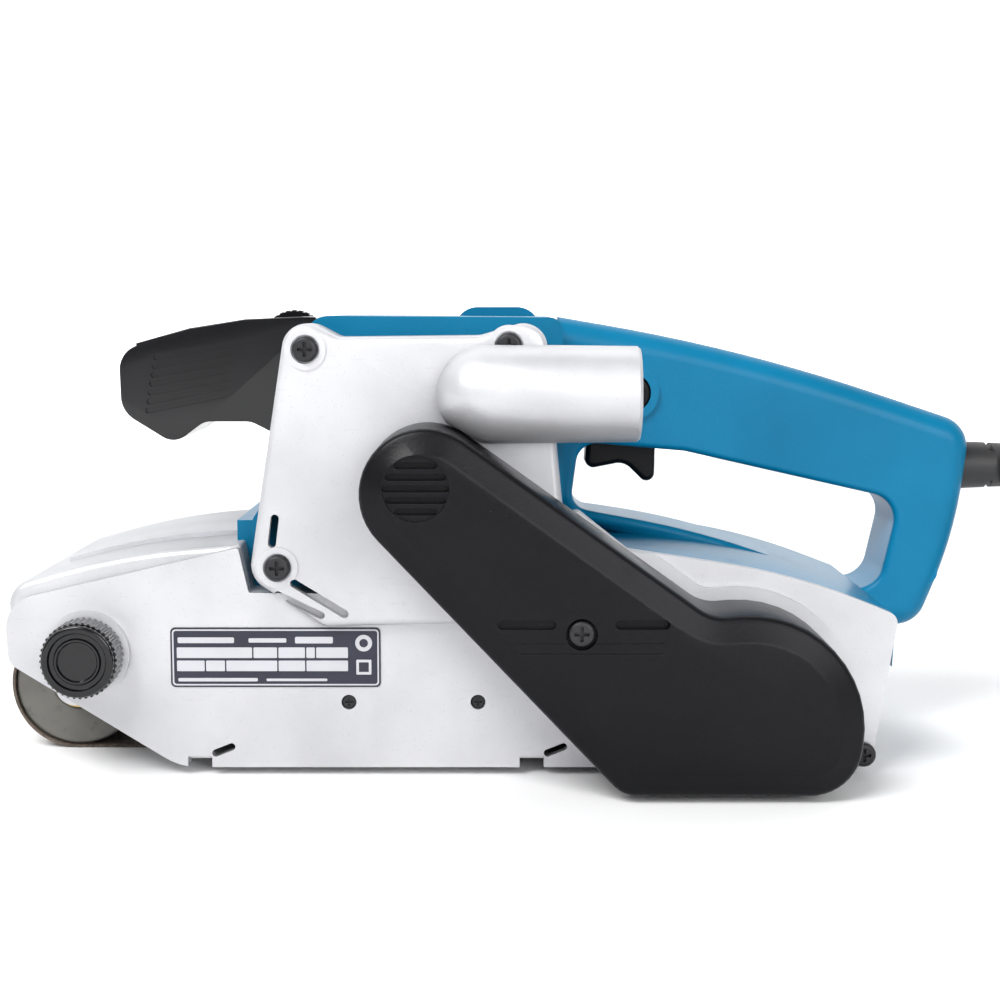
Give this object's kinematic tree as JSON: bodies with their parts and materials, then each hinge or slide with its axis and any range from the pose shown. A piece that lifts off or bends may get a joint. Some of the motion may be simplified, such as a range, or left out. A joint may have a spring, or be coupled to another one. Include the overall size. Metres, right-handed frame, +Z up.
{
  "type": "handheld belt sander",
  "caption": "Handheld electric belt sander with cast sole, side drive under a black cover, dust spout, front grip, rear loop handle with trigger, and a mains cord.",
  "frame": {"origin": "middle of the flat sole between the two roller axes, on the sanding plane and the belt's centre plane", "axes": "+X from the front roller to the rear handle, +Z up, -Y towards the drive cover"},
  "size_m": [0.6196, 0.196, 0.1615],
  "materials": {
    "cast_aluminium": "satin, fine cast grain",
    "roller_aluminium": "turned, dull",
    "black_plastic": "satin, fine moulded grain",
    "gloss_black": "glossy moulded",
    "blue_plastic": "satin gloss",
    "black_steel": "black oxide",
    "bright_steel": "machined",
    "core_steel": "laminated",
    "dark_plate": "dark printed plate",
    "copper": "enamelled copper",
    "brass": "turned brass",
    "carbon": "pressed carbon",
    "black_rubber": "matt",
    "cork": "cork and rubber sheet",
    "abrasive_cloth": "brown grit on cloth"
  },
  "bodies": {
    "machine": {"main_frame": "cast_aluminium", "side_plate": "cast_aluminium", "fan_cover": "cast_aluminium", "belt_cover": "black_plastic", "motor_housing": "blue_plastic", "front_grip": "gloss_black", "handle_left": "blue_plastic", "handle_right": "blue_plastic", "fan_cover_screws": "black_steel", "belt_cover_screw": "black_steel", "rear_screw": "black_steel", "handle_screws": "black_steel", "side_plate_screws": "black_steel", "shoe_screws": "bright_steel", "nameplate": "dark_plate", "stator": "core_steel", "field_coils": "copper", "motor_bearings": "bright_steel", "brush_holders": "brass", "carbon_brushes": "carbon", "brush_caps": "black_plastic", "poly_v_belt": "black_rubber", "counter_bearings": "bright_steel", "roller_bearings": "bright_steel", "tension_spring": "bright_steel", "shoe_plate": "bright_steel", "shoe_pad": "cork", "abrasive_belt": "abrasive_cloth", "trigger_spring": "bright_steel", "switch_box": "black_plastic", "speed_control": "dark_plate", "cord_guard": "black_rubber", "cord_lead": "black_rubber", "cord_coil": "black_rubber", "cord_tail": "black_rubber", "plug_body": "black_rubber", "plug_pins": "bright_steel"},
    "rear_roller_unit": {"rear_shaft": "bright_steel", "rear_roller": "roller_aluminium", "rear_roller_rubber": "black_rubber", "final_gear": "bright_steel"},
    "counter_unit": {"counter_shaft": "bright_steel", "large_pulley": "black_plastic", "drive_pinion": "bright_steel"},
    "armature_unit": {"armature": "core_steel", "commutator": "copper", "fan": "black_plastic", "small_pulley": "bright_steel"},
    "fork_unit": {"tension_fork": "bright_steel"},
    "front_roller_unit": {"front_roller": "roller_aluminium", "front_bearings": "brass"},
    "lever_unit": {"tension_lever": "bright_steel"},
    "knob_unit": {"tracking_knob": "black_plastic"},
    "trigger_unit": {"trigger": "black_plastic"},
    "lock_button_unit": {"lock_button": "black_plastic"},
    "speed_dial_unit": {"speed_dial": "black_plastic"}
  },
  "joints": [
    {"name": "rear_roller_spin", "type": "hinge", "parent": "machine", "child": "rear_roller_unit", "pos_m": [0.11559, 0, 0.024], "axis": [0, 1, 0], "continuous": true},
    {"name": "counter_spin", "type": "hinge", "parent": "machine", "child": "counter_unit", "pos_m": [0.09879, 0, 0.04079], "axis": [0, 1, 0], "continuous": true},
    {"name": "armature_spin", "type": "hinge", "parent": "machine", "child": "armature_unit", "pos_m": [0.014, 0, 0.101], "axis": [0, 1, 0], "continuous": true},
    {"name": "tension_lever_turn", "type": "hinge", "parent": "machine", "child": "lever_unit", "pos_m": [-0.03, 0, 0.0235], "axis": [0, 1, 0], "range_deg": [0, 40]},
    {"name": "fork_slide", "type": "slide", "parent": "machine", "child": "fork_unit", "axis": [1, 0, 0], "range_m": [0, 0.006], "stiffness_N_per_m": 1500, "springref_m": -0.006, "deforming": ["tension_spring"]},
    {"name": "front_roller_spin", "type": "hinge", "parent": "fork_unit", "child": "front_roller_unit", "pos_m": [-0.11559, 0, 0.024], "axis": [0, 1, 0], "continuous": true},
    {"name": "knob_turn", "type": "hinge", "parent": "machine", "child": "knob_unit", "pos_m": [-0.1027, -0.08, 0.0429], "axis": [0, -1, 0], "range_deg": [-360, 360]},
    {"name": "trigger_press", "type": "slide", "parent": "machine", "child": "trigger_unit", "axis": [0, 0, 1], "range_m": [0, 0.005], "stiffness_N_per_m": 800, "springref_m": -0.002, "deforming": ["trigger_spring"]},
    {"name": "lock_button_press", "type": "slide", "parent": "machine", "child": "lock_button_unit", "axis": [0, 1, 0], "range_m": [0, 0.003], "stiffness_N_per_m": 500, "springref_m": -0.001},
    {"name": "speed_dial_turn", "type": "hinge", "parent": "machine", "child": "speed_dial_unit", "pos_m": [-0.0385, 0, 0.1482], "axis": [0, -1, 0], "range_deg": [0, 300]}
  ],
  "couplings": [
    {"joint": "counter_spin", "follows": "rear_roller_spin", "ratio": -2.1667},
    {"joint": "armature_spin", "follows": "rear_roller_spin", "ratio": -4.3333},
    {"joint": "front_roller_spin", "follows": "rear_roller_spin", "ratio": 1},
    {"joint": "tension_lever_turn", "follows": "fork_slide", "rad_per_m": 116.3}
  ]
}
